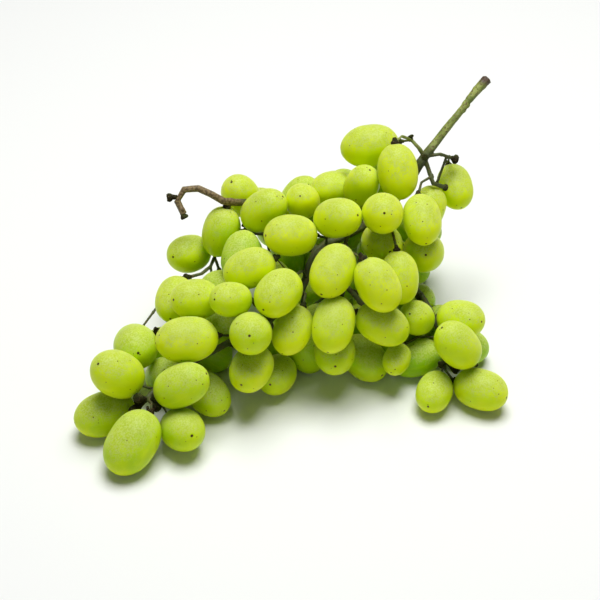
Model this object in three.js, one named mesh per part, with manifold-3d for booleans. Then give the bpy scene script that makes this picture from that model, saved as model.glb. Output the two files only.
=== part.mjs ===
// A bunch of green table grapes, lying on a flat surface.
// One branched stem carries every berry. Millimetres, +Z up, the surface is the plane z = 0.
// The origin is on the surface, under the middle of the bunch's box.

import * as THREE from 'three';
import { mergeVertices } from 'three/addons/utils/BufferGeometryUtils.js';
import Module from 'manifold-3d';

const wasm = await Module();
wasm.setup();

// Driving dimensions.
const bunchWidth = 206; // along X, as laid out; the berries settle to about 200
const bunchDepth = 170; // along Y, as laid out; the berries settle to about 185
const bunchHeight = 111; // from the surface to the cut end of the peduncle
const berryWidth = 18.6; // a middling berry across
const berryLength = 26; // a middling berry from stalk to tip
const peduncleRadius = 1.6;
const nodeRadius = 2.5; // the swollen node that the bunch was cut at
const rachisRadius = 2.5; // the main stem inside the bunch
const rachisTipRadius = 1.2;
const armRadius = 1.6; // the bare hooked side arm
const shootRadius = 1.1; // the side shoots that hold the berry stalks
const stalkRadius = 0.75; // the small stalk of one berry

// Clearances.
const berryGap = 0.35; // between two berries that touch
const stemGap = 0.45; // between a berry and any stem it lies against
const stemRoomGap = 0.32; // room cut out of a berry that a stem still runs into
const pressDepth = 0.1 * berryWidth; // how far the berries of one clump press into each other

// Fineness of the solids.
const berrySides = 10;
const berryRings = 6;
const stemSides = 6;
const stalkSides = 4;
const stalkBends = 2; // straight pieces in one berry stalk
const stemStep = 7; // length of one straight piece of stem
const weldDistance = 1e-5; // corners nearer than this are one corner

// Places below are given for a bunch of this size and stretch with the bunch's own.
const drawnSize = [200, 165, 108];
const stretch = new THREE.Vector3(
  bunchWidth / drawnSize[0], bunchDepth / drawnSize[1], bunchHeight / drawnSize[2],
);
const place = (at) => new THREE.Vector3(...at).multiply(stretch);

// ---------------------------------------------------------------------------------------------
// Stem: routes of the main stem and its side shoots, from thick end to thin end.

const stout = 1.3; // the thick end of a shoot, beside its usual thickness
const slender = 0.75; // the thin end of a shoot, beside its usual thickness

const routes = {
  peduncle: {
    points: [[50, 62, 68], [58, 68, 80], [62, 72, 83], [69, 78, 90], [76, 84, 96], [80, 88, 100]],
    radii: [rachisRadius, peduncleRadius],
  },
  cutNode: {
    points: [[79, 87, 99], [82, 90, 101.5], [85, 93, 103], [88, 96, 105]],
    radii: [nodeRadius * slender, nodeRadius],
  },
  rachis: {
    points: [
      [50, 62, 68], [38, 54, 57], [22, 46, 51], [8, 38, 48], [0, 20, 38],
      [-14, 6, 33], [-32, -4, 28], [-48, -14, 25], [-62, -24, 21], [-68, -32, 19],
    ],
    radii: [rachisRadius, rachisTipRadius],
  },
  hookedArm: {
    points: [
      [8, 38, 48], [-7, 50, 46], [-20, 59, 56], [-27, 57, 62], [-33, 52, 65], [-38, 51, 68],
      [-42, 52, 70.5], [-47, 53, 72.5], [-51, 53, 73], [-55, 52, 71.5], [-57, 50, 68.5],
      [-56, 48, 66], [-54, 46, 63],
    ],
    radii: [armRadius * stout, armRadius],
  },
  leftShoot: {
    points: [
      [-7, 50, 46], [-18, 62, 40], [-29, 66, 38], [-37, 61, 40], [-40, 52, 39.5], [-41, 42, 38],
      [-44, 35, 38], [-48, 31, 38.5], [-52, 29, 39],
    ],
    radii: [shootRadius, shootRadius * slender],
  },
  upperLeftShoot: {
    points: [[8, 38, 48], [0, 54, 50], [-8, 64, 46], [-12, 72, 42]],
    radii: [shootRadius, shootRadius],
  },
  frontShoot: {
    points: [[8, 38, 48], [11, 30, 46], [17, 24, 43], [24, 19, 38], [30, 15, 32]],
    radii: [shootRadius * stout, shootRadius],
  },
  lowShoot: {
    points: [[22, 46, 51], [20, 45, 38], [18, 42, 27], [14, 40, 22]],
    radii: [shootRadius, shootRadius],
  },
  backShoot: {
    points: [[38, 54, 57], [38, 66, 50], [36, 78, 40], [34, 86, 33], [30, 90, 28]],
    radii: [shootRadius * stout, shootRadius],
  },
  rightShoot: {
    points: [
      [38, 54, 57], [45, 46, 46], [51, 34, 34], [60, 24, 26], [65, 10, 18], [67, -2, 14],
    ],
    radii: [shootRadius * stout, shootRadius],
  },
  topTwig: {
    points: [[58, 68, 80], [55, 70, 84], [52, 73, 86]],
    radii: [shootRadius, shootRadius * slender],
  },
  hangingTwig: {
    points: [[58, 68, 80], [63, 69, 81], [69, 70, 79], [72, 71, 77]],
    radii: [shootRadius * slender, shootRadius * slender],
  },
  loopTwig: {
    points: [[58, 68, 80], [60, 65, 75], [61, 60, 72], [64, 60, 69], [67, 62, 67]],
    radii: [shootRadius, shootRadius],
  },
  innerLeftShoot: {
    points: [[-14, 6, 33], [-22, 12, 40], [-30, 14, 44]],
    radii: [shootRadius, shootRadius],
  },
  armShoot: {
    points: [[-48, -14, 25], [-56, -2, 24], [-60, 10, 24]],
    radii: [shootRadius, shootRadius * slender],
  },
};
const bareRoutes = new Set(['peduncle', 'cutNode', 'hookedArm']); // no berry stalk grows on these

function curveOf(points) {
  return new THREE.CatmullRomCurve3(points.map(place), false, 'centripetal');
}

const stepsAlong = (curve) => Math.max(2, Math.round(curve.getLength() / stemStep));

// ---------------------------------------------------------------------------------------------
// Berries: where each lies, which way its stalk points, and its size beside a middling berry.
// A berry without a stalk direction points its stalk at the nearest shoot.
// A resting berry lies on the surface.

const single = {
  left_arm: [
    { at: [-73, -52, 13], stalk: [5, 7, 5], size: 1.22, resting: true },
    { at: [-87, -32, 11], stalk: [9, 4, 0], size: 1.12, resting: true },
    { at: [-79, -25, 31], stalk: [5, 4, -8], size: 1.14 },
    { at: [-74, -7, 25], stalk: [-2, 9, -5], size: 1.12 },
    { at: [-50, -17, 41], stalk: [10, 3, -1], size: 1.12 },
    { at: [-52, -33, 28], stalk: [-8, 0, -5], size: 1.06 },
    { at: [-52, -42, 11], stalk: [-4, 8, -5], size: 1.05, resting: true },
    { at: [-42, -18, 10], stalk: [-5, 6, 1], size: 1, resting: true },
    { at: [-57, 13, 39], stalk: [1, 9, 1], size: 0.98 },
    { at: [-46, 1, 49], stalk: [7, 5, -4], size: 1 },
  ],
  left_shoulder: [
    { at: [-53, 48, 38], stalk: [5, 7, -4], size: 1 },
    { at: [-33, 48, 50], stalk: [2, 3, 8], size: 0.98 },
    { at: [-28, 68, 57], stalk: [3, 3, -8], size: 1 },
    { at: [-15, 48, 64], stalk: [-7, 1, -7], size: 1 },
    { at: [-1, 54, 64], stalk: [1, 7, -8], size: 0.9 },
    { at: [-4, 23, 65], stalk: [8, 4, -3], size: 1.04 },
    { at: [-23, 12, 57], stalk: [9, 2, 3], size: 0.98 },
    { at: [-30, -5, 52], stalk: [6, 6, -5], size: 0.87 },
    { at: [-10, -2, 55], stalk: [5, 9, 0], size: 1.06 },
  ],
  middle: [
    { at: [-23, -15, 44], stalk: [0, 8, -6], size: 1.05 },
    { at: [-18, -15, 21], stalk: [3, 9, -1], size: 1.04 },
    { at: [-3, -5, 36], stalk: [4, 8, 5], size: 0.95 },
    { at: [-9, -2, 11], stalk: [2, 8, -3], size: 0.98, resting: true },
    { at: [18, 7, 59], stalk: [4, 9, 3], size: 1.07 },
    { at: [32, 3, 56], stalk: [-5, 5, 7], size: 1.04 },
    { at: [14, -6, 42], stalk: [2, 9, 5], size: 1.06 },
    { at: [37, -1, 37], stalk: [-9, 3, 3], size: 1.02 },
    { at: [20, 0, 17], stalk: [0, 9, -2], size: 1.04 },
    { at: [25, 5, 11], stalk: [-6, 8, 1], size: 1.05, resting: true },
    { at: [46, -2, 15], stalk: [3, 8, 1], size: 0.68 },
    { at: [56, 13, 17], stalk: [3, 5, -6], size: 0.88 },
    { at: [41, 36, 53], stalk: [-2, 8, -3], size: 1.04 },
    { at: [43, 18, 51], stalk: [-1, 6, 8], size: 0.98 },
  ],
  right_shoulder: [
    { at: [19, 66, 62], stalk: [8, 5, -2], size: 0.92 },
    { at: [27, 64, 68], stalk: [-3, 2, -9], size: 0.9 },
    { at: [33, 80, 78], stalk: [10, 1, 1], size: 1.12 },
    { at: [45, 60, 76], stalk: [-1, 6, 8], size: 1.04 },
    { at: [74, 72, 60], stalk: [-2, 8, 4], size: 0.93 },
    { at: [33, 30, 74], stalk: [0, 8, -6], size: 1.04 },
    { at: [21, 31, 72], stalk: [-7, 5, -5], size: 1 },
    { at: [56, 37, 63], stalk: [-1, 8, 4], size: 0.98 },
    { at: [63, 56, 61], stalk: [3, 6, 6], size: 0.9 },
    { at: [56, 40, 51], stalk: [0, 8, -5], size: 1.06 },
  ],
  right_arm: [
    { at: [68, 14, 21], stalk: [-7, 6, -4], size: 0.98 },
    { at: [71, -7, 29], stalk: [6, 0, -8], size: 1.04 },
    { at: [81, -9, 11], stalk: [-8, 5, -1], size: 1.04, resting: true },
    { at: [62, -16, 12], stalk: [3, 9, -1], size: 0.92, resting: true },
  ],
};

// Berries that press so close that they count as one body.
// In each clump a berry touches the one before it.
const clumps = [
  [[-62, -12, 11], [-56, 8, 12]],
  [[-46, 7, 12], [-35, 9, 31], [-36, 26, 42], [-25, 31, 56]],
  [[-20, 20, 12], [4, 9, 12], [8, 32, 12], [-14, 36, 12]],
  [[36, 38, 12], [25, 21, 12], [46, 19, 12], [57, 1, 11]],
  [[-36, 27, 13], [-34, 47, 13], [-26, 60, 32]],
  [[-18, 56, 12], [4, 56, 12], [25, 60, 12]],
  [[13, 80, 12], [-10, 76, 12], [-14, 84, 26], [-17, 80, 37]],
  [[35, 79, 12], [56, 74, 12], [56, 82, 34], [57, 66, 40]],
  [[14, 94, 32], [26, 100, 13], [47, 98, 13], [38, 104, 33]],
  [[-4, 73, 50], [6, 87, 32], [27, 86, 50], [39, 92, 55]],
  [[81, 6, 12], [64, 24, 14], [58, 34, 17]],
  [[45, 58, 28], [46, 54, 11]],
];
const clumpBerrySize = 0.98;
const restingBelow = 14; // a clump's berry placed lower than this lies on the surface

// ---------------------------------------------------------------------------------------------
// Settling: berries are pushed off each other, off the stem and up to the surface, until all fit.

const firmShare = 0.15; // share of a push that a single berry takes from a clump's berry
// Rounds of settling, and how far each berry is drawn towards its own place in the first round.
const looseSettling = { rounds: 250, pull: 0.04 };
const firmSettling = { rounds: 350, pull: 0.01 }; // with the stalks grown

// The stem's straight pieces, each in two halves: start, end, radius and whether stalks grow there.
const stemLine = [];
for (const [name, route] of Object.entries(routes)) {
  const curve = curveOf(route.points);
  const corners = curve.getSpacedPoints(stepsAlong(curve));
  const halfway = (i) => corners[i].clone().lerp(corners[i + 1], 0.5);
  const points = corners.slice(1).flatMap((corner, i) => [corners[i], halfway(i)]);
  points.push(corners.at(-1));
  for (let i = 1; i < points.length; i++) {
    const radius = THREE.MathUtils.lerp(route.radii[0], route.radii[1], i / points.length);
    stemLine.push({ start: points[i - 1], end: points[i], radius, grows: !bareRoutes.has(name) });
  }
}

function nearestStem(point) {
  let best = null;
  let least = Infinity;
  for (const piece of stemLine) {
    if (!piece.grows) continue;
    const distance = point.distanceTo(piece.end);
    if (distance < least) [least, best] = [distance, piece.end];
  }
  return best;
}

// A long berry is as wide everywhere as a row of balls along its axis, each just inside its skin.
const ballSteps = [-1, -0.5, 0, 0.5, 1];

function makeBerry({ at, stalk, size = clumpBerrySize, resting = false }, clump = null) {
  const centre = place(at);
  const aim = stalk ? new THREE.Vector3(...stalk) : nearestStem(centre).clone().sub(centre);
  const axis = aim.normalize();
  const half = 0.5 * berryLength * size;
  const girth = 0.5 * berryWidth * size;
  const focus = half * half - girth * girth;
  const balls = ballSteps.map((step) => {
    const along = step * focus / half;
    const radius = girth * Math.sqrt(1 - along * along / focus);
    return { offset: axis.clone().multiplyScalar(along), radius };
  });
  const drop = Math.hypot(girth * Math.sqrt(1 - axis.z * axis.z), half * axis.z);
  return { home: centre.clone(), centre, axis, half, girth, balls, drop, resting, clump };
}

const berries = [];
for (const [shoot, list] of Object.entries(single)) {
  list.forEach((berry, i) => berries.push({ ...makeBerry(berry), name: `${shoot}_berry_${i + 1}` }));
}
clumps.forEach((list, c) => {
  for (const at of list) berries.push(makeBerry({ at, resting: at[2] < restingBelow }, c));
});

const ballAt = (berry, ball) => berry.centre.clone().add(ball.offset);

function closestBalls(a, b) {
  let least = Infinity;
  let way = null;
  for (const ballA of a.balls) {
    const from = ballAt(a, ballA);
    for (const ballB of b.balls) {
      const line = ballAt(b, ballB).sub(from);
      const gap = line.length() - ballA.radius - ballB.radius;
      if (gap < least) [least, way] = [gap, line];
    }
  }
  return { gap: least, way: way.normalize() };
}

function pushApart(a, b, neighbours) {
  const reach = a.half + b.half + berryGap;
  if (!neighbours && a.centre.distanceToSquared(b.centre) > reach * reach) return;
  const { gap, way } = closestBalls(a, b);
  const wanted = neighbours ? -pressDepth : berryGap;
  const lack = wanted - gap;
  if (lack <= 0 && !neighbours) return;
  if (!neighbours && a.clump !== null && a.clump === b.clump && gap > -pressDepth) return;
  let share = 0.5;
  if (a.clump === null && b.clump !== null) share = firmShare;
  if (a.clump !== null && b.clump === null) share = 1 - firmShare;
  a.centre.addScaledVector(way, -lack * share);
  b.centre.addScaledVector(way, lack * (1 - share));
}

const segment = new THREE.Line3();
const nearPoint = new THREE.Vector3();

function pushOff(berry, piece) {
  const reach = berry.half + piece.radius + stemStep;
  if (berry.centre.distanceToSquared(piece.start) > reach * reach) return;
  segment.set(piece.start, piece.end);
  let worst = 0;
  let way = null;
  for (const ball of berry.balls) {
    const from = ballAt(berry, ball);
    segment.closestPointToPoint(from, true, nearPoint);
    const line = from.sub(nearPoint);
    const lack = ball.radius + piece.radius + stemGap - line.length();
    if (lack > worst) [worst, way] = [lack, line];
  }
  if (way) berry.centre.addScaledVector(way.normalize(), worst);
}

function settle({ rounds, pull }, stalks = []) {
  for (let round = 0; round < rounds; round++) {
    const homing = pull * (1 - round / rounds);
    for (const berry of berries) berry.centre.lerp(berry.home, homing);
    for (let i = 0; i < berries.length; i++) {
      for (let j = i + 1; j < berries.length; j++) {
        const [a, b] = [berries[i], berries[j]];
        const neighbours = j === i + 1 && a.clump !== null && a.clump === b.clump;
        pushApart(a, b, neighbours);
      }
    }
    for (const berry of berries) {
      for (const piece of stemLine) pushOff(berry, piece);
    }
    for (const stalk of stalks) {
      for (const piece of stalk.pieces()) {
        for (const berry of berries) if (berry !== stalk.berry) pushOff(berry, piece);
      }
    }
    for (const berry of berries) {
      berry.centre.z = berry.resting ? berry.drop : Math.max(berry.centre.z, berry.drop);
    }
  }
}

// ---------------------------------------------------------------------------------------------
// Berry stalks: each leaves its berry along the axis and bends to the shoot that it reaches best.

const stalkSteps = 4;
const stalkBow = 0.45; // how far a stalk runs on along its berry's axis, beside the reach to its root
const blockedCost = 12; // how much longer a way round may be for each millimetre of berry it avoids

function stalkCurve(berry, root) {
  const tip = berry.centre.clone().addScaledVector(berry.axis, berry.half + stemGap);
  const bend = tip.clone().addScaledVector(berry.axis, stalkBow * tip.distanceTo(root));
  return new THREE.QuadraticBezierCurve3(tip, bend, root);
}

function depthInBerries(point, own) {
  let deepest = 0;
  for (const berry of berries) {
    if (berry === own) continue;
    if (berry.centre.distanceTo(point) > berry.half + stalkRadius + stemGap) continue;
    for (const ball of berry.balls) {
      const depth = ball.radius + stalkRadius + stemGap - ballAt(berry, ball).distanceTo(point);
      if (depth > deepest) deepest = depth;
    }
  }
  return deepest;
}

function growStalk(berry) {
  let best = null;
  let least = Infinity;
  for (const piece of stemLine) {
    if (!piece.grows) continue;
    const curve = stalkCurve(berry, piece.end);
    const length = curve.v0.distanceTo(curve.v2);
    if (length > least) continue;
    const turn = 1 - curve.v2.clone().sub(curve.v0).normalize().dot(berry.axis);
    let cost = length + turn * berryWidth;
    for (let i = 1; i <= stalkSteps * 2; i++) {
      cost += blockedCost * depthInBerries(curve.getPoint(i / (stalkSteps * 2 + 1)), berry) / stalkSteps;
    }
    if (cost < least) [least, best] = [cost, piece.end];
  }
  const root = best;
  return {
    berry,
    root,
    pieces() {
      const points = stalkCurve(berry, root).getPoints(stalkSteps);
      return points.slice(1).map((end, i) => ({ start: points[i], end, radius: stalkRadius }));
    },
  };
}

settle(looseSettling);
const stalks = berries.map(growStalk);
settle(firmSettling, stalks);

// ---------------------------------------------------------------------------------------------
// Solids.

function tube(curve, radii, steps, sides) {
  const frames = curve.computeFrenetFrames(steps, false);
  const corners = [];
  const faces = [];
  for (let i = 0; i <= steps; i++) {
    const middle = curve.getPointAt(i / steps);
    const radius = THREE.MathUtils.lerp(radii[0], radii[1], i / steps);
    for (let k = 0; k < sides; k++) {
      const angle = (2 * Math.PI * k) / sides;
      const corner = middle.clone()
        .addScaledVector(frames.normals[i], radius * Math.cos(angle))
        .addScaledVector(frames.binormals[i], radius * Math.sin(angle));
      corners.push(...corner);
    }
  }
  for (let i = 0; i < steps; i++) {
    for (let k = 0; k < sides; k++) {
      const next = (k + 1) % sides;
      const [a, b, c, d] = [i * sides + k, i * sides + next, (i + 1) * sides + next, (i + 1) * sides + k];
      faces.push(a, b, c, a, c, d);
    }
  }
  const last = steps * sides;
  for (let k = 1; k < sides - 1; k++) faces.push(0, k + 1, k, last, last + k, last + k + 1);
  const geometry = new THREE.BufferGeometry();
  geometry.setAttribute('position', new THREE.Float32BufferAttribute(corners, 3));
  geometry.setIndex(faces);
  return geometry;
}

function toSolid(geometry) {
  const bare = geometry.clone();
  bare.deleteAttribute('normal');
  bare.deleteAttribute('uv');
  const merged = mergeVertices(bare, weldDistance);
  return new wasm.Manifold(new wasm.Mesh({
    numProp: 3,
    vertProperties: Float32Array.from(merged.getAttribute('position').array),
    triVerts: Uint32Array.from(merged.getIndex().array),
  }));
}

function toGeometry(solid) {
  const mesh = solid.getMesh();
  const geometry = new THREE.BufferGeometry();
  geometry.setAttribute('position', new THREE.BufferAttribute(mesh.vertProperties, 3));
  geometry.setIndex(new THREE.BufferAttribute(mesh.triVerts, 1));
  geometry.computeVertexNormals();
  return geometry;
}

function stemSolid(extra) {
  const tubes = Object.values(routes).map(({ points, radii }) => {
    const curve = curveOf(points);
    return toSolid(tube(curve, radii.map((radius) => radius + extra), stepsAlong(curve), stemSides));
  });
  for (const { berry, root } of stalks) {
    const curve = stalkCurve(berry, root);
    const radius = stalkRadius + extra;
    tubes.push(toSolid(tube(curve, [radius, radius], stalkBends, stalkSides)));
  }
  return tubes.reduce((whole, next) => whole.add(next));
}

function berrySolid(berry) {
  const shape = new THREE.SphereGeometry(1, berrySides, berryRings);
  const turn = new THREE.Quaternion().setFromUnitVectors(new THREE.Vector3(0, 1, 0), berry.axis);
  const size = new THREE.Vector3(berry.girth, berry.half, berry.girth);
  shape.applyMatrix4(new THREE.Matrix4().compose(berry.centre, turn, size));
  return toSolid(shape);
}

const stemMaterial = new THREE.MeshStandardMaterial({ color: 0x6b7a2c, roughness: 0.7, metalness: 0 });
const berryMaterial = new THREE.MeshStandardMaterial({ color: 0xa9c43a, roughness: 0.35, metalness: 0 });

const bunch = new THREE.Group();

function addMesh(name, solid, material) {
  const mesh = new THREE.Mesh(toGeometry(solid), material);
  mesh.name = name;
  bunch.add(mesh);
}

const stem = stemSolid(0);
const stemRoom = stemSolid(stemRoomGap); // the stem with the room that it needs between the berries
addMesh('stem', stem, stemMaterial);
for (const berry of berries.filter((one) => one.clump === null)) {
  addMesh(berry.name, berrySolid(berry).subtract(stemRoom), berryMaterial);
}
clumps.forEach((list, c) => {
  const pieces = berries.filter((one) => one.clump === c).map(berrySolid);
  const joined = pieces.reduce((whole, next) => whole.add(next));
  addMesh(`clump_of_${list.length}_berries_${c + 1}`, joined.subtract(stemRoom), berryMaterial);
});

const box = new THREE.Box3().setFromObject(bunch);
const middle = box.getCenter(new THREE.Vector3());
bunch.position.set(-middle.x, -middle.y, -box.min.z);

export default bunch;
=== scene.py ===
import math

import bmesh
import bpy
import numpy as np
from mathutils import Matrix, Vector


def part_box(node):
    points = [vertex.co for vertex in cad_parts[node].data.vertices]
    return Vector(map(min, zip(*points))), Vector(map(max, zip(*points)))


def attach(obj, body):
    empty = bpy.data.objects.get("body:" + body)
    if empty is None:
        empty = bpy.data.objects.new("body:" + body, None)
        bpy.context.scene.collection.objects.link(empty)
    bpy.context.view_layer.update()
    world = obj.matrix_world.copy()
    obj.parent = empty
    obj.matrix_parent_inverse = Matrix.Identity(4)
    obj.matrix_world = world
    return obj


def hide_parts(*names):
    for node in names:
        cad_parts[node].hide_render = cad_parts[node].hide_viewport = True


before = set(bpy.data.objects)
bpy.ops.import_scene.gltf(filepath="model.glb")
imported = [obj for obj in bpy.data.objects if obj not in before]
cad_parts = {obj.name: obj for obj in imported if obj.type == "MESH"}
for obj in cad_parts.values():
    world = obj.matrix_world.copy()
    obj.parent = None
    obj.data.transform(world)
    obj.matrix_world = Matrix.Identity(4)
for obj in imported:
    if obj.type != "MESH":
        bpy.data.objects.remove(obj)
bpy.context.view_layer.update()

# ---------------------------------------------------------------------------------------------
# Stem. The real one is a single grown piece: a green, half woody main stem with side shoots, and
# a thin stalk to every berry. Here the frame's solid is fused, rounded and given a living skin
# of shallow ridges, and the place where it was cut from the vine dries to brown.

MM = 0.001
stem_voxel = 0.4 * MM
stem_swell = 0.1 * MM  # what rounding takes off the thin stalks
cut_depth = 3 * MM  # the cut end is this much of the stem's top
ridge_height = 0.07 * MM
knot_height = 0.45 * MM
handle_height = (82 * MM, 90 * MM)  # from here up the stem is the pale handle
arm_start = (-30 * MM, -22 * MM)  # left of this and above arm_height runs the bare woody arm
arm_height = (50 * MM, 58 * MM)
dry_reach = (4.2 * MM, 8.5 * MM)  # the skin is dried brown this near to the cut, and not past this
ragged_edge = 4 * MM  # how far the edge of the dried part wanders


def merged_copy(node, name):
    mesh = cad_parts[node].data.copy()
    mesh.name = name
    work = bmesh.new()
    work.from_mesh(mesh)
    bmesh.ops.remove_doubles(work, verts=work.verts, dist=0.002 * MM)
    work.to_mesh(mesh)
    work.free()
    mesh.materials.clear()
    return mesh


def show(mesh, name):
    piece = bpy.data.objects.new(name, mesh)
    bpy.context.scene.collection.objects.link(piece)
    return piece


def plain_mesh(piece, name):
    """The piece as its modifiers leave it, as a plain mesh with no modifier left."""
    depsgraph = bpy.context.evaluated_depsgraph_get()
    depsgraph.update()
    mesh = bpy.data.meshes.new_from_object(piece.evaluated_get(depsgraph), depsgraph=depsgraph)
    mesh.name = name
    piece.modifiers.clear()
    piece.data = mesh
    return mesh


class Tree:
    """A node tree that is written from left to right, one node a line."""

    def __init__(self, tree):
        self.tree = tree

    def feed(self, socket, value):
        """Links the socket to another node's output, or gives it a plain value."""
        if isinstance(value, bpy.types.NodeSocket):
            self.tree.links.new(value, socket)
        else:
            socket.default_value = value

    def add(self, kind, inputs=None, **settings):
        node = self.tree.nodes.new(kind)
        for key, value in settings.items():
            setattr(node, key, value)
        for key, value in (inputs or {}).items():
            self.feed(node.inputs[key], value)
        return node

    def math(self, operation, *values):
        node = self.add("ShaderNodeMath", operation=operation)
        for socket, value in zip(node.inputs, values):
            self.feed(socket, value)
        return node.outputs[0]

    def ramp(self, value, low, high, start=0.0, end=1.0):
        """start below low, end above high, and smooth between them."""
        node = self.add(
            "ShaderNodeMapRange",
            {"Value": value, "From Min": low, "From Max": high, "To Min": start, "To Max": end},
            interpolation_type="SMOOTHSTEP",
        )
        return node.outputs["Result"]

    def mix(self, share, first, second):
        node = self.add("ShaderNodeMix", data_type="RGBA")
        for index, value in ((0, share), (6, first), (7, second)):
            self.feed(node.inputs[index], value)
        return node.outputs[2]

    def finish_growth(self, geometry, lift, material):
        """Ends a growing group: pushes its surface out by lift, smooths its shading, dresses it."""
        real = self.add("GeometryNodeRealizeInstances", {"Geometry": geometry})
        normal = self.add("GeometryNodeInputNormal").outputs[0]
        move = self.add("ShaderNodeVectorMath", {0: normal, "Scale": lift}, operation="SCALE")
        moved = self.add(
            "GeometryNodeSetPosition", {"Geometry": real.outputs[0], "Offset": move.outputs[0]}
        )
        smooth = self.add("GeometryNodeSetShadeSmooth", {"Geometry": moved.outputs[0]})
        dressed = self.add(
            "GeometryNodeSetMaterial", {"Geometry": smooth.outputs[0], "Material": material}
        )
        self.add("NodeGroupOutput", {"Geometry": dressed.outputs[0]})


def new_group(name, numbers, counts):
    """A Geometry Nodes group that takes a geometry, some numbers, some counts and a material."""
    group = bpy.data.node_groups.new(name, "GeometryNodeTree")
    face = group.interface
    face.new_socket("Geometry", in_out="INPUT", socket_type="NodeSocketGeometry")
    for number in numbers:
        face.new_socket(number, in_out="INPUT", socket_type="NodeSocketFloat")
    for count in counts:
        face.new_socket(count, in_out="INPUT", socket_type="NodeSocketInt")
    face.new_socket("Material", in_out="INPUT", socket_type="NodeSocketMaterial")
    face.new_socket("Geometry", in_out="OUTPUT", socket_type="NodeSocketGeometry")
    tree = Tree(group)
    return group, tree, tree.add("NodeGroupInput").outputs


def new_material(name):
    material = bpy.data.materials.new(name)
    material.use_nodes = True
    material.node_tree.nodes.clear()
    return material, Tree(material.node_tree)


def rgb(red, green, blue):
    return (red, green, blue, 1.0)


def finish_material(tree, principled):
    output = tree.add("ShaderNodeOutputMaterial")
    tree.tree.links.new(principled.outputs["BSDF"], output.inputs["Surface"])


twig_shades = (rgb(0.028, 0.042, 0.008), rgb(0.095, 0.115, 0.02))
handle_shades = (rgb(0.13, 0.18, 0.02), rgb(0.30, 0.35, 0.07))
wood_shades = (rgb(0.12, 0.07, 0.03), rgb(0.30, 0.21, 0.10))
fleck_brown = rgb(0.13, 0.085, 0.03)
wart_brown = rgb(0.07, 0.045, 0.02)
dried_brown = rgb(0.075, 0.042, 0.018)


def stem_material(cut_end):
    material, tree = new_material("stem_skin")
    place = tree.add("ShaderNodeTexCoord").outputs["Object"]
    broad = tree.add("ShaderNodeTexNoise", {"Vector": place, "Scale": 130.0, "Detail": 3.0})
    fine = tree.add("ShaderNodeTexNoise", {"Vector": place, "Scale": 900.0, "Detail": 4.0})
    x, y, z = tree.add("ShaderNodeSeparateXYZ", {"Vector": place}).outputs
    twig = tree.mix(broad.outputs[0], *twig_shades)
    handle = tree.mix(tree.ramp(broad.outputs[0], 0.35, 0.65), *handle_shades)
    green = tree.mix(tree.ramp(z, *handle_height), twig, handle)
    flecks = tree.ramp(fine.outputs[0], 0.56, 0.66)
    bark = tree.mix(flecks, green, fleck_brown)
    wood = tree.mix(tree.ramp(fine.outputs[0], 0.4, 0.6), *wood_shades)
    on_arm = tree.math("MULTIPLY", tree.ramp(x, *arm_start, 1.0, 0.0), tree.ramp(z, *arm_height))
    bark = tree.mix(tree.math("MULTIPLY", on_arm, 0.85), bark, wood)
    cells = tree.add("ShaderNodeTexVoronoi", {"Vector": place, "Scale": 520.0, "Randomness": 1.0})
    warts = tree.ramp(cells.outputs["Distance"], 0.16, 0.26, 1.0, 0.0)
    warts = tree.math("MULTIPLY", warts, tree.ramp(broad.outputs[0], 0.5, 0.6))
    bark = tree.mix(warts, bark, wart_brown)
    offset = tree.add("ShaderNodeVectorMath", {0: place, 1: tuple(cut_end)}, operation="DISTANCE")
    ragged = tree.math("MULTIPLY", fine.outputs[0], ragged_edge)
    dry = tree.ramp(tree.math("ADD", offset.outputs["Value"], ragged), *dry_reach, 1.0, 0.0)
    bark = tree.mix(dry, bark, dried_brown)
    rough = tree.ramp(fine.outputs[0], 0.3, 0.7, 0.5, 0.75)
    bumps = tree.math("ADD", fine.outputs[0], tree.math("MULTIPLY", warts, 0.8))
    bump = tree.add("ShaderNodeBump", {"Height": bumps, "Strength": 0.6, "Distance": 0.0004})
    principled = tree.add(
        "ShaderNodeBsdfPrincipled",
        {
            "Base Color": bark,
            "Roughness": rough,
            "Subsurface Weight": 0.15,
            "Subsurface Radius": (0.6, 1.0, 0.2),
            "Subsurface Scale": 0.0012,
            "Normal": bump.outputs["Normal"],
        },
    )
    finish_material(tree, principled)
    return material


stem_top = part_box("stem")[1][2]
stem_mesh = merged_copy("stem", "stem_wood")
stem_points = np.array([vertex.co for vertex in stem_mesh.vertices])
# The cut end is the stem's highest part, above all the berries.
highest = stem_points[stem_points[:, 2] > stem_top - cut_depth]
cut_end = Vector(highest.mean(axis=0))
stem = show(stem_mesh, "stem_wood")


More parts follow.
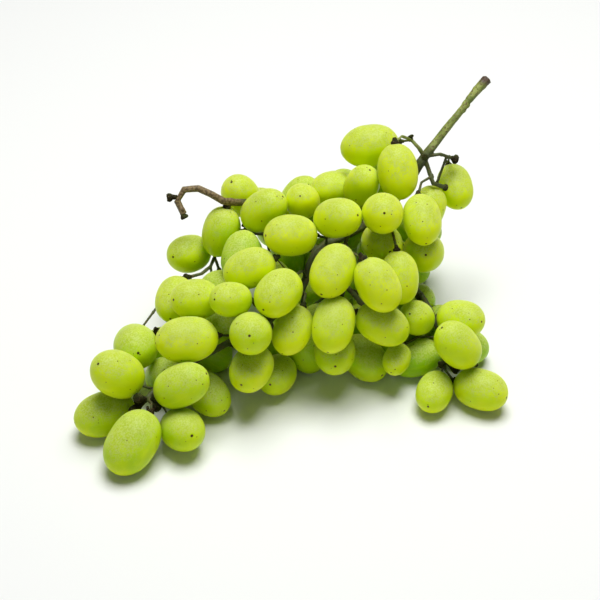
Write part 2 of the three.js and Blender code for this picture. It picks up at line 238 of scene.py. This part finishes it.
def stem_tree():
    """Raises shallow ridges and small knots on the fused, rounded stem, and swells it a little."""
    group, tree, given = new_group("stem_growth", ("Swell", "Ridge Height", "Knot Height"), ("Seed",))
    place = tree.add("GeometryNodeInputPosition").outputs[0]
    seed = tree.math("MULTIPLY", given["Seed"], 3.7)
    ridges = tree.add(
        "ShaderNodeTexNoise",
        {"Vector": place, "W": seed, "Scale": 420.0, "Detail": 2.0},
        noise_dimensions="4D",
    )
    swings = tree.add(
        "ShaderNodeTexNoise",
        {"Vector": place, "W": seed, "Scale": 110.0, "Detail": 1.0},
        noise_dimensions="4D",
    )
    lift = tree.math("MULTIPLY", tree.math("SUBTRACT", ridges.outputs[0], 0.5), given["Ridge Height"])
    slow = tree.math("MULTIPLY", tree.math("SUBTRACT", swings.outputs[0], 0.5), given["Ridge Height"])
    lift = tree.math("ADD", tree.math("MULTIPLY", lift, 2.0), tree.math("MULTIPLY", slow, 4.0))
    cells = tree.add("ShaderNodeTexVoronoi", {"Vector": place, "Scale": 230.0, "Randomness": 1.0})
    knots = tree.ramp(cells.outputs["Distance"], 0.12, 0.42, 1.0, 0.0)
    knots = tree.math("MULTIPLY", knots, tree.ramp(swings.outputs[0], 0.46, 0.6))
    lift = tree.math("ADD", lift, tree.math("MULTIPLY", knots, given["Knot Height"]))
    tree.finish_growth(given["Geometry"], tree.math("ADD", lift, given["Swell"]), given["Material"])
    return group


def set_inputs(modifier, **values):
    """Sets a Geometry Nodes modifier's named inputs by their sockets' identifiers."""
    for item in modifier.node_group.interface.items_tree:
        key = item.name.replace(" ", "_").lower()
        if item.item_type == "SOCKET" and item.in_out == "INPUT" and key in values:
            modifier[item.identifier] = values[key]


fuse = stem.modifiers.new("fuse", "REMESH")
fuse.mode = "VOXEL"
fuse.voxel_size = stem_voxel
fuse.use_smooth_shade = True
round_off = stem.modifiers.new("round_off", "SMOOTH")
round_off.factor = 0.5
round_off.iterations = 3
growth = stem.modifiers.new("growth", "NODES")
growth.node_group = stem_tree()
set_inputs(
    growth, swell=stem_swell, ridge_height=ridge_height, knot_height=knot_height, seed=5,
    material=stem_material(cut_end),
)
plain_mesh(stem, "stem_wood")
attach(stem, "root")
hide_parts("stem")

# ---------------------------------------------------------------------------------------------
# Berries. Each real one is a long oval fruit: clear, juicy yellow-green flesh in a thin skin with
# a pale wax bloom and small brown specks. It hangs by the stalk end and has a dark dot at the tip.
# The frame's solids give each berry's place, direction and size, and a berry has the same here.

berry_segments = 44
berry_rings = 28
stalk_reach = 1.6 * MM  # a berry's stalk end is nearer to the stem than this
long_share = 26.0 / 18.6  # a berry's length beside its width
end_facets = 9  # at least so many facets meet at a berry's end
reaches = (2.8 * MM, 6.0 * MM)  # how far the facets round a berry's end may reach
wide_per_reach = 2.0  # half a faceted berry's width beside the reach of the facets round its end
even_within = 0.06  # facets that a cut has not touched reach equally far, within this share
cut_facets = 0.4  # an end with more cut facets than this share does not count
back_to_back = -0.97  # how straight away from each other a berry's two ends look
end_offset = 1.2 * MM  # how far off its axis a berry's far end may be
lengths = (2.0, 3.6)  # a berry's length may be so many times half its width
apart = 3 * MM  # the centres of two berries are always further apart


def fans(mesh):
    """Where many facets meet in a point: each faceted berry's two ends, with their directions."""
    work = bmesh.new()
    work.from_mesh(mesh)
    found = []
    for vertex in work.verts:
        if len(vertex.link_faces) < end_facets:
            continue
        outward = Vector()
        for face in vertex.link_faces:
            outward += face.normal * face.calc_area()
        outward.normalize()
        ring = np.array(
            [(edge.other_vert(vertex).co - vertex.co).cross(outward).length for edge in vertex.link_edges]
        )
        usual = float(np.median(ring))
        uneven = float(np.mean(np.abs(ring - usual) > even_within * usual))
        if uneven <= cut_facets and reaches[0] < usual < reaches[1]:
            found.append((uneven, vertex.co.copy(), outward, usual * wide_per_reach))
    work.free()
    found.sort(key=lambda end: end[0])
    return [end[1:] for end in found]


def other_end(end, ends):
    """The far end of the berry that has this end, or None where a neighbour hides it."""
    point, axis, girth = end
    for other in ends:
        away = point - other[0]
        facing = other[1].dot(axis) < back_to_back
        in_line = away.cross(axis).length < end_offset
        if facing and in_line and lengths[0] < away.length / girth < lengths[1]:
            return other
    return None


def to_stem(point):
    return float(np.linalg.norm(stem_points - np.array(point), axis=1).min())


def berries_in(node):
    """Each berry in a node as centre, direction of its stalk, half its length and half its width."""
    facets = merged_copy(node, "facets")
    ends = fans(facets)
    bpy.data.meshes.remove(facets)
    berries = []
    for end in ends:
        point, axis, girth = end
        far = other_end(end, ends)
        if far is None:
            half = girth * long_share
            centre = point - axis * half
            if to_stem(point) > stalk_reach:
                axis = -axis
        else:
            stalk, tip = sorted((point, far[0]), key=to_stem)
            half = (stalk - tip).length / 2
            centre = (stalk + tip) / 2
            axis = (stalk - tip).normalized()
            girth = max(girth, far[2])
        if all((centre - berry[0]).length > apart for berry in berries):
            berries.append((centre, axis, half, girth))
    return berries


stalk_end_fuller = 0.015  # a berry is a little wider towards its stalk
dimple_tightness = 45.0  # how narrow the dimple at the stalk is
pit_tightness = 160.0  # how narrow the pit at the tip is


def berry_tree():
    """Grows berries on points that carry their axis, half length, half width, and ripeness with painted
    shade.
    """
    group, tree, given = new_group(
        "grape_berries",
        ("Blunt Ends", "Stalk Dimple", "Tip Dimple", "Unevenness"),
        ("Segments", "Rings", "Seed"),
    )
    ball = tree.add(
        "GeometryNodeMeshUVSphere", {"Segments": given["Segments"], "Rings": given["Rings"], "Radius": 1.0}
    )
    unit = tree.add("GeometryNodeInputPosition").outputs[0]
    kept = tree.add(
        "GeometryNodeStoreNamedAttribute",
        {"Geometry": ball.outputs["Mesh"], "Name": "berry_place", "Value": unit},
        data_type="FLOAT_VECTOR",
        domain="POINT",
    )
    x, y, z = tree.add("ShaderNodeSeparateXYZ", {"Vector": unit}).outputs
    aside = tree.math("ADD", tree.math("MULTIPLY", x, x), tree.math("MULTIPLY", y, y))
    along = tree.math("MULTIPLY", z, z)
    shoulder = tree.math("MULTIPLY", tree.math("MULTIPLY", along, aside), given["Blunt Ends"])
    lean = tree.math("MULTIPLY", z, stalk_end_fuller)
    wide = tree.math("ADD", tree.math("ADD", 1.0, shoulder), lean)
    stalk_side = tree.ramp(z, 0.0, 0.5)
    tip_side = tree.ramp(z, -0.5, 0.0, 1.0, 0.0)
    dip = tree.math("EXPONENT", tree.math("MULTIPLY", aside, -dimple_tightness))
    dip = tree.math("MULTIPLY", tree.math("MULTIPLY", dip, stalk_side), given["Stalk Dimple"])
    pit = tree.math("EXPONENT", tree.math("MULTIPLY", aside, -pit_tightness))
    pit = tree.math("MULTIPLY", tree.math("MULTIPLY", pit, tip_side), given["Tip Dimple"])
    tall = tree.math("SUBTRACT", tree.math("ADD", z, pit), dip)
    shape = tree.add(
        "ShaderNodeCombineXYZ",
        {"X": tree.math("MULTIPLY", x, wide), "Y": tree.math("MULTIPLY", y, wide), "Z": tall},
    )
    shaped = tree.add(
        "GeometryNodeSetPosition", {"Geometry": kept.outputs[0], "Position": shape.outputs[0]}
    )

    def carried(name, kind):
        node = tree.add("GeometryNodeInputNamedAttribute", {"Name": name}, data_type=kind)
        return node.outputs[0]

    turn = tree.add(
        "FunctionNodeAlignRotationToVector", {"Vector": carried("axis", "FLOAT_VECTOR")}, axis="Z"
    )
    girth = carried("half_width", "FLOAT")
    size = tree.add(
        "ShaderNodeCombineXYZ", {"X": girth, "Y": girth, "Z": carried("half_length", "FLOAT")}
    )
    placed = tree.add(
        "GeometryNodeInstanceOnPoints",
        {
            "Points": given["Geometry"],
            "Instance": shaped.outputs[0],
            "Rotation": turn.outputs[0],
            "Scale": size.outputs[0],
        },
    )
    place = tree.add("GeometryNodeInputPosition").outputs[0]
    bulges = tree.add(
        "ShaderNodeTexNoise",
        {"Vector": place, "W": given["Seed"], "Scale": 65.0, "Detail": 1.0},
        noise_dimensions="4D",
    )
    lift = tree.math("MULTIPLY", tree.math("SUBTRACT", bulges.outputs[0], 0.5), given["Unevenness"])
    tree.finish_growth(placed.outputs[0], lift, given["Material"])
    return group


flesh_shades = (rgb(0.32, 0.58, 0.001), rgb(0.78, 0.89, 0.002))  # the greenest, the most golden
vein_yellow = rgb(0.78, 0.90, 0.02)
painted_top_shade_olive = rgb(0.33, 0.43, 0.006)  # painted shade, darkening the upper side of a berry
# pale bloom dust, laid thicker on upward faces as a painted highlight
bloom_and_highlight_pale = rgb(0.58, 0.67, 0.20)
speck_brown = rgb(0.06, 0.045, 0.01)
dot_brown = rgb(0.055, 0.032, 0.012)
ring_olive = rgb(0.16, 0.19, 0.03)


def berry_material():
    material, tree = new_material("grape_skin")
    place = tree.add("ShaderNodeTexCoord").outputs["Object"]
    unit = tree.add("ShaderNodeAttribute", attribute_name="berry_place").outputs["Vector"]
    ripeness_and_painted_shade = tree.add("ShaderNodeAttribute", attribute_name="ripeness_and_painted_shade").outputs["Fac"]
    x, y, z = tree.add("ShaderNodeSeparateXYZ", {"Vector": unit}).outputs
    aside = tree.math("SQRT", tree.math("ADD", tree.math("MULTIPLY", x, x), tree.math("MULTIPLY", y, y)))

    broad = tree.add("ShaderNodeTexNoise", {"Vector": place, "Scale": 90.0, "Detail": 2.0}).outputs[0]
    patches = tree.add(
        "ShaderNodeTexNoise", {"Vector": place, "Scale": 260.0, "Detail": 4.0, "Distortion": 0.6}
    ).outputs[0]
    grain = tree.add("ShaderNodeTexNoise", {"Vector": place, "Scale": 1300.0, "Detail": 3.0}).outputs[0]

    # Flesh seen through the skin, greener or more golden from berry to berry, with faint long veins.
    # The tone also carries painted shade: low berries and those deep in the bunch are greener and darker.
    tone = tree.math("ADD", ripeness_and_painted_shade, tree.math("MULTIPLY", tree.math("SUBTRACT", broad, 0.5), 0.5))
    flesh = tree.mix(tree.ramp(tone, 0.0, 1.0), *flesh_shades)
    streak = tree.add(
        "ShaderNodeVectorMath", {0: unit, 1: (5.0, 5.0, 0.9)}, operation="MULTIPLY"
    ).outputs[0]
    veins = tree.add(
        "ShaderNodeTexNoise",
        {"Vector": streak, "W": tree.math("MULTIPLY", ripeness_and_painted_shade, 30.0), "Scale": 1.6, "Detail": 3.0},
        noise_dimensions="4D",
    ).outputs[0]
    flesh = tree.mix(tree.ramp(veins, 0.52, 0.62, 0.0, 0.16), flesh, vein_yellow)

    # Wax bloom: thin, patchy and dusty, rubbed off here and there, paler on the upper side as painted
    # highlight.
    outward = tree.add("ShaderNodeNewGeometry").outputs["Normal"]
    upward = tree.add("ShaderNodeSeparateXYZ", {"Vector": outward}).outputs[2]
    ragged_up = tree.math("ADD", upward, tree.math("MULTIPLY", tree.math("SUBTRACT", patches, 0.5), 0.7))
    dust = tree.ramp(grain, 0.36, 0.66, 0.2, 1.0)
    bloom_and_painted_highlight = tree.math("MULTIPLY", tree.ramp(ragged_up, 0.22, 0.7), dust)
    # Painted shade: the upper side of the flesh is darkened towards olive, under the pale bloom.
    thick = tree.ramp(ragged_up, 0.45, 1.0, 0.0, 0.7)
    skin = tree.mix(thick, flesh, painted_top_shade_olive)
    skin = tree.mix(tree.math("MULTIPLY", bloom_and_painted_highlight, 0.75), skin, bloom_and_highlight_pale)

    # Specks: tiny corky pores, thinly and unevenly strewn.
    pores = tree.add("ShaderNodeTexVoronoi", {"Vector": place, "Scale": 400.0, "Randomness": 1.0})
    odds = tree.add("ShaderNodeSeparateColor", {"Color": pores.outputs["Color"]}).outputs[0]
    speck_size = tree.math("MULTIPLY", tree.ramp(odds, 0.40, 1.0), 0.15)
    specks = tree.ramp(tree.math("SUBTRACT", speck_size, pores.outputs["Distance"]), 0.0, 0.03)
    skin = tree.mix(tree.math("MULTIPLY", specks, 0.9), skin, speck_brown)

    # The dark dot at the tip and the browned skin round the stalk.
    ragged = tree.math("ADD", aside, tree.math("MULTIPLY", tree.math("SUBTRACT", patches, 0.5), 0.06))
    at_tip = tree.math("LESS_THAN", z, 0.0)
    dot = tree.math("MULTIPLY", tree.ramp(ragged, 0.045, 0.075, 1.0, 0.0), at_tip)
    skin = tree.mix(dot, skin, dot_brown)
    at_stalk = tree.math("GREATER_THAN", z, 0.0)
    ring = tree.math("MULTIPLY", tree.ramp(ragged, 0.16, 0.30, 0.75, 0.0), at_stalk)
    skin = tree.mix(ring, skin, ring_olive)

    rough = tree.ramp(bloom_and_painted_highlight, 0.0, 1.0, 0.36, 0.62)
    height = tree.math("ADD", tree.math("MULTIPLY", grain, 0.35), tree.math("MULTIPLY", specks, 0.5))
    bump = tree.add("ShaderNodeBump", {"Height": height, "Strength": 0.5, "Distance": 0.0002})
    principled = tree.add(
        "ShaderNodeBsdfPrincipled",
        {
            "Base Color": skin,
            "Roughness": rough,
            "IOR": 1.45,
            "Specular IOR Level": 0.2,
            "Subsurface Weight": 1.0,
            "Subsurface Radius": (1.0, 1.0, 0.1),
            "Subsurface Scale": 0.0085,
            "Coat Weight": 0.03,
            "Coat Roughness": 0.36,
            "Sheen Weight": 0.02,
            "Sheen Roughness": 0.4,
            "Sheen Tint": rgb(0.9, 1.0, 0.75),
            "Normal": bump.outputs["Normal"],
        },
    )
    finish_material(tree, principled)
    return material


def points_mesh(name, rows, measures):
    """A mesh of loose points from rows of place, axis and one number for each of the measures."""
    mesh = bpy.data.meshes.new(name)
    mesh.from_pydata([row[0] for row in rows], [], [])
    axis = mesh.attributes.new("axis", "FLOAT_VECTOR", "POINT")
    axis.data.foreach_set("vector", [number for row in rows for number in row[1]])
    for column, measure in enumerate(measures, start=2):
        values = mesh.attributes.new(measure, "FLOAT", "POINT")
        values.data.foreach_set("value", [row[column] for row in rows])
    return mesh


berry_measures = ("half_length", "half_width", "ripeness_and_painted_shade")
in_the_light = 0.5  # how ripe a berry on the outside is
in_the_shade = 0.15  # painted shade: one deep in the bunch gets greener, darker flesh
painted_light_upwards = 0.3  # how much more golden the topmost berry is than one on the floor, painted shade on the low ones
ripeness_spread = 0.12
top_berry = 80.0 * MM  # about as high as the highest berry
chance = np.random.default_rng(41)
grown = berry_tree()
skin = berry_material()
stalk_ends = []
berry_nodes = [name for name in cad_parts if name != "stem"]
for node in berry_nodes:
    usual = in_the_shade if node.startswith("clump") else in_the_light
    rows = []
    for berry in berries_in(node):
        centre, axis, half, _ = berry
        # Painted shade besides ripeness: lower berries, and those deep in the bunch, get greener, darker
        # flesh.
        ripeness_and_painted_shade = usual + painted_light_upwards * centre.z / top_berry
        ripeness_and_painted_shade += chance.uniform(-ripeness_spread, ripeness_spread)
        rows.append((*berry, ripeness_and_painted_shade))
        stalk_ends.append((centre + axis * half, axis, 1.0))
    fruit = show(points_mesh(node + "_fruit", rows, berry_measures), node + "_fruit")
    growing = fruit.modifiers.new("growing", "NODES")
    growing.node_group = grown
    set_inputs(
        growing,
        segments=berry_segments,
        rings=berry_rings,
        seed=int(chance.integers(1, 999)),
        blunt_ends=0.16,
        stalk_dimple=0.05,
        tip_dimple=0.02,
        unevenness=0.9 * MM,
        material=skin,
    )
    plain_mesh(fruit, node + "_fruit")
    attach(fruit, "root")
    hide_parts(node)

# ---------------------------------------------------------------------------------------------
# Stalk caps. Where a real stalk meets its berry it flares to a small brown-green warty pad that
# grips the fruit. Where a berry has dropped the cap stays on empty, and a broken twig leaves a
# knob. All of them grow as one with the stem, so here they are one piece.

cap_width = 1.9 * MM  # half of a cap's width on the berry
cap_length = 2.6 * MM
cap_sink = 0.5 * MM  # how far a cap sits into the dimple of its berry
cap_warts = 0.9 * MM
cap_sizes = (0.85, 1.25)  # the smallest and the largest cap beside a usual one
# A cap's width from berry to stalk, as pairs of share of its length and share of cap_width.
cap_profile = [(0.0, 0.75), (0.16, 1.0), (0.32, 0.95), (0.55, 0.62), (0.78, 0.5), (1.0, 0.34)]
# Empty caps and knobs: place in millimetres, the way back to the stem (only its direction counts),
# and length beside a usual cap's.
empty_caps = [
    ((-70.0, -62.0, 24.0), (3.2, 3.7, -4.5), 2.4),
    ((-72.5, -63.0, 17.0), (5.7, 4.7, 2.5), 2.8),
    ((-65.0, -66.0, 12.5), (-1.8, 7.7, 7.0), 3.4),
    ((-61.5, -62.0, 18.0), (-4.0, 4.0, 1.5), 1.8),
    ((69.5, -29.0, 14.0), (2.8, 1.7, 0.4), 1.3),
    ((77.0, -31.0, 12.5), (-4.7, 3.7, 1.9), 2.2),
    ((80.5, -30.0, 15.0), (-8.0, 2.7, -0.6), 3.0),
    ((78.6, 48.3, 78.2), (-3.1, -1.0, 2.0), 1.0),
    ((73.6, 39.4, 67.8), (-3.0, -2.0, 2.0), 1.0),
    ((63.0, 43.0, 83.0), (0.0, 1.0, -0.4), 0.9),
    ((56.0, 51.0, 89.6), (1.0, -1.5, -1.5), 0.9),
    ((-52.0, 21.2, 63.4), (-2.0, 2.0, 3.0), 1.2),
    ((-59.5, 26.2, 71.4), (4.0, 0.4, 0.2), 1.5),
    ((-51.6, 3.6, 41.0), (3.0, 2.0, -1.0), 1.4),
]


def cap_tree():
    """Grows warty caps on points that carry their axis and their stretch."""
    group, tree, given = new_group(
        "stalk_caps", ("Width", "Length", "Sink", "Warts"), ("Sides", "Steps", "Seed")
    )
    low = tree.math("MULTIPLY", given["Sink"], -1.0)
    start = tree.add("ShaderNodeCombineXYZ", {"Z": low}).outputs[0]
    end = tree.add("ShaderNodeCombineXYZ", {"Z": given["Length"]}).outputs[0]
    line = tree.add("GeometryNodeCurvePrimitiveLine", {"Start": start, "End": end})
    steps = tree.add(
        "GeometryNodeResampleCurve", {"Curve": line.outputs[0], "Count": given["Steps"]}
    )
    way = tree.add("GeometryNodeSplineParameter").outputs["Factor"]
    flare = tree.add("ShaderNodeFloatCurve", {"Value": way})
    curve = flare.mapping.curves[0]
    curve.points[0].location = cap_profile[0]
    curve.points[1].location = cap_profile[-1]
    for point in cap_profile[1:-1]:
        curve.points.new(*point)
    flare.mapping.update()
    radius = tree.math("MULTIPLY", flare.outputs[0], given["Width"])
    round_one = tree.add(
        "GeometryNodeCurvePrimitiveCircle", {"Resolution": given["Sides"], "Radius": 1.0}
    )
    thick = tree.add(
        "GeometryNodeCurveToMesh",
        {
            "Curve": steps.outputs[0],
            "Profile Curve": round_one.outputs[0],
            "Scale": radius,
            "Fill Caps": True,
        },
    )
    axis = tree.add("GeometryNodeInputNamedAttribute", {"Name": "axis"}, data_type="FLOAT_VECTOR")
    turn = tree.add("FunctionNodeAlignRotationToVector", {"Vector": axis.outputs[0]}, axis="Z")
    size = tree.add(
        "FunctionNodeRandomValue",
        {2: cap_sizes[0], 3: cap_sizes[1], "Seed": given["Seed"]},
        data_type="FLOAT",
    )
    stretch = tree.add("GeometryNodeInputNamedAttribute", {"Name": "stretch"}, data_type="FLOAT")
    long = tree.math("MULTIPLY", size.outputs[1], stretch.outputs[0])
    scale = tree.add("ShaderNodeCombineXYZ", {"X": size.outputs[1], "Y": size.outputs[1], "Z": long})
    placed = tree.add(
        "GeometryNodeInstanceOnPoints",
        {
            "Points": given["Geometry"],
            "Instance": thick.outputs[0],
            "Rotation": turn.outputs[0],
            "Scale": scale.outputs[0],
        },
    )
    place = tree.add("GeometryNodeInputPosition").outputs[0]
    lumps = tree.add("ShaderNodeTexNoise", {"Vector": place, "Scale": 1300.0, "Detail": 2.0})
    lift = tree.math("MULTIPLY", tree.math("SUBTRACT", lumps.outputs[0], 0.5), given["Warts"])
    tree.finish_growth(placed.outputs[0], lift, given["Material"])
    return group


cap_shades = (rgb(0.022, 0.016, 0.006), rgb(0.035, 0.045, 0.009))
cap_fleck = rgb(0.13, 0.10, 0.035)


def cap_material():
    material, tree = new_material("stalk_cap_bark")
    place = tree.add("ShaderNodeTexCoord").outputs["Object"]
    broad = tree.add("ShaderNodeTexNoise", {"Vector": place, "Scale": 160.0, "Detail": 2.0}).outputs[0]
    fine = tree.add("ShaderNodeTexNoise", {"Vector": place, "Scale": 1800.0, "Detail": 3.0}).outputs[0]
    bark = tree.mix(tree.ramp(broad, 0.4, 0.6), *cap_shades)
    bark = tree.mix(tree.ramp(fine, 0.56, 0.68), bark, cap_fleck)
    bump = tree.add("ShaderNodeBump", {"Height": fine, "Strength": 0.7, "Distance": 0.0003})
    principled = tree.add(
        "ShaderNodeBsdfPrincipled",
        {
            "Base Color": bark,
            "Roughness": 0.8,
            "Specular IOR Level": 0.15,
            "Normal": bump.outputs["Normal"],
        },
    )
    finish_material(tree, principled)
    return material


for place, way, long in empty_caps:
    stalk_ends.append((Vector(place) * MM, Vector(way).normalized(), long))
caps = show(points_mesh("stalk_caps", stalk_ends, ("stretch",)), "stalk_caps")
flaring = caps.modifiers.new("flaring", "NODES")
flaring.node_group = cap_tree()
set_inputs(
    flaring, width=cap_width, length=cap_length, sink=cap_sink, warts=cap_warts,
    sides=26, steps=20, seed=3, material=cap_material(),
)
plain_mesh(caps, "stalk_caps")
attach(caps, "root")

# ---------------------------------------------------------------------------------------------
# Floor, light and camera. The bunch lies on a plain white surface under one wide soft lamp, high
# up and a little behind, with a weaker lamp in front and pale light from all round.

floor_reach = 4.0
floor_white = rgb(0.86, 0.87, 0.85)
air_white = rgb(1.0, 1.0, 0.98)
air_strength = 0.06
camera_distance = 0.70
camera_height_angle = math.radians(40.0)
camera_field = math.radians(23.3)
camera_target = Vector((0.0031, 0.0, 0.0297))
lamp_target = Vector((0.0, 0.0, 0.03))

floor_mesh = bpy.data.meshes.new("floor")
floor_corners = [(-1, -1), (1, -1), (1, 1), (-1, 1)]
floor_points = [(floor_reach * x, floor_reach * y, 0.0) for x, y in floor_corners]
floor_mesh.from_pydata(floor_points, [], [(0, 1, 2, 3)])
floor = show(floor_mesh, "floor")
floor_paint, tree = new_material("white_floor")
finish_material(
    tree,
    tree.add("ShaderNodeBsdfPrincipled", {"Base Color": floor_white, "Roughness": 0.8}),
)
floor_mesh.materials.append(floor_paint)


def look_at(thing, target):
    thing.rotation_euler = (Vector(target) - thing.location).to_track_quat("-Z", "Y").to_euler()


def soft_lamp(name, place, size, power):
    lamp = bpy.data.lights.new(name, "AREA")
    lamp.shape = "SQUARE"
    lamp.size = size
    lamp.energy = power
    holder = bpy.data.objects.new(name, lamp)
    holder.location = place
    bpy.context.scene.collection.objects.link(holder)
    look_at(holder, lamp_target)


soft_lamp("lamp_above", place=(0.08, 0.18, 1.30), size=0.80, power=21.5)
soft_lamp("lamp_front", place=(-0.25, -0.85, 0.42), size=0.50, power=0.5)

world = bpy.data.worlds.new("studio")
bpy.context.scene.world = world
world.use_nodes = True
air = world.node_tree.nodes["Background"].inputs
air["Color"].default_value = air_white
air["Strength"].default_value = air_strength

camera = bpy.data.objects.new("camera", bpy.data.cameras.new("camera"))
camera.data.angle = camera_field
camera.location = camera_target + camera_distance * Vector(
    (0.0, -math.cos(camera_height_angle), math.sin(camera_height_angle))
)
look_at(camera, camera_target)
bpy.context.scene.collection.objects.link(camera)
bpy.context.scene.camera = camera
bpy.context.scene.view_settings.view_transform = "Standard"
